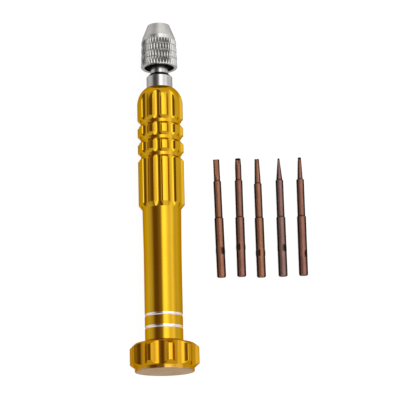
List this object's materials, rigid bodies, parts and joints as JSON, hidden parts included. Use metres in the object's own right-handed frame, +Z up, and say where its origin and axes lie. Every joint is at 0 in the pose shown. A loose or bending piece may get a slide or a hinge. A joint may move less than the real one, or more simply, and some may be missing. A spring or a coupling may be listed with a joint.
{
  "type": "watchmaker screwdriver",
  "caption": "Pocket precision screwdriver with a fluted swivel cap, a grooved grip that stores bits, a knurled collet nut, and loose stepped bits beside it.",
  "frame": {"origin": "on the bench, under the middle of the box that holds the driver and its five bits", "axes": "+Z up; +Y from the swivel cap towards the nose, in the vertical plane of the driver's axis, which dips 2.6 degrees to the nose; +X from the driver to the bits"},
  "size_m": [0.0471, 0.0938, 0.018],
  "materials": {
    "gold_anodised": "bright gold anodised, fine turning marks, bright-cut silver lines",
    "nickel_steel": "turned and nickel plated, bright",
    "knurled_steel": "diamond knurl, nickel plated, satin",
    "spring_steel": "hardened, fine ground",
    "bearing_steel": "ground and polished",
    "cage_brass": "pressed, satin",
    "matte_disc": "fine bead-blasted, warm beige",
    "seal_rubber": "matte",
    "white_nylon": "waxy satin",
    "brown_bit_steel": "brown oxide, lengthwise drawn, dark ends"
  },
  "bodies": {
    "handle": {"handle_body": "gold_anodised", "chuck_arbor": "nickel_steel"},
    "collet": {"collet": "spring_steel"},
    "nut": {"chuck_nut": "knurled_steel"},
    "plug_ring": {"plug_o_ring": "seal_rubber"},
    "plug": {"tail_plug": "gold_anodised", "cap_washer": "white_nylon", "pivot_screw": "spring_steel", "shim_washer": "spring_steel", "bearing_inner_race": "bearing_steel"},
    "cap": {"swivel_cap": "gold_anodised", "cap_disc": "matte_disc", "bearing_outer_race": "bearing_steel", "bearing_shields": "bearing_steel"},
    "cage": {"bearing_cage": "cage_brass", "bearing_balls": "bearing_steel"},
    "bit_slotted": {"bit_slotted": "brown_bit_steel"},
    "bit_six_lobe": {"bit_six_lobe": "brown_bit_steel"},
    "bit_three_wing": {"bit_three_wing": "brown_bit_steel"},
    "bit_cross": {"bit_cross": "brown_bit_steel"},
    "bit_five_lobe": {"bit_five_lobe": "brown_bit_steel"}
  },
  "joints": [
    {"name": "collet_travel", "type": "slide", "parent": "handle", "child": "collet", "axis": [0, 0.999, -0.0446], "range_m": [0, 0.002]},
    {"name": "nut_turn", "type": "hinge", "parent": "collet", "child": "nut", "pos_m": [-0.01458, 0.04037, 0.00532], "axis": [0, 0.999, -0.0446], "range_deg": [0, 1440]},
    {"name": "plug_travel", "type": "slide", "parent": "handle", "child": "plug_ring", "axis": [0, -0.999, 0.0446], "range_m": [0, 0.0045]},
    {"name": "plug_turn", "type": "hinge", "parent": "plug_ring", "child": "plug", "pos_m": [-0.01458, -0.03456, 0.00867], "axis": [0, -0.999, 0.0446], "range_deg": [0, 2160]},
    {"name": "cap_swivel", "type": "hinge", "parent": "plug", "child": "cap", "pos_m": [-0.01458, -0.04265, 0.00903], "axis": [0, -0.999, 0.0446], "continuous": true},
    {"name": "cage_spin", "type": "hinge", "parent": "plug", "child": "cage", "pos_m": [-0.01458, -0.04265, 0.00903], "axis": [0, -0.999, 0.0446], "continuous": true},
    {"name": "bit_slotted_lift", "type": "slide", "parent": "handle", "child": "bit_slotted", "axis": [0, 0, 1], "range_m": [0, 0.03]},
    {"name": "bit_six_lobe_lift", "type": "slide", "parent": "handle", "child": "bit_six_lobe", "axis": [0, 0, 1], "range_m": [0, 0.03]},
    {"name": "bit_three_wing_lift", "type": "slide", "parent": "handle", "child": "bit_three_wing", "axis": [0, 0, 1], "range_m": [0, 0.03]},
    {"name": "bit_cross_lift", "type": "slide", "parent": "handle", "child": "bit_cross", "axis": [0, 0, 1], "range_m": [0, 0.03]},
    {"name": "bit_five_lobe_lift", "type": "slide", "parent": "handle", "child": "bit_five_lobe", "axis": [0, 0, 1], "range_m": [0, 0.03]}
  ],
  "couplings": [
    {"joint": "nut_turn", "follows": "collet_travel", "rad_per_m": 12566},
    {"joint": "plug_turn", "follows": "plug_travel", "rad_per_m": 8377.6},
    {"joint": "cage_spin", "follows": "cap_swivel", "ratio": 0.59804}
  ]
}
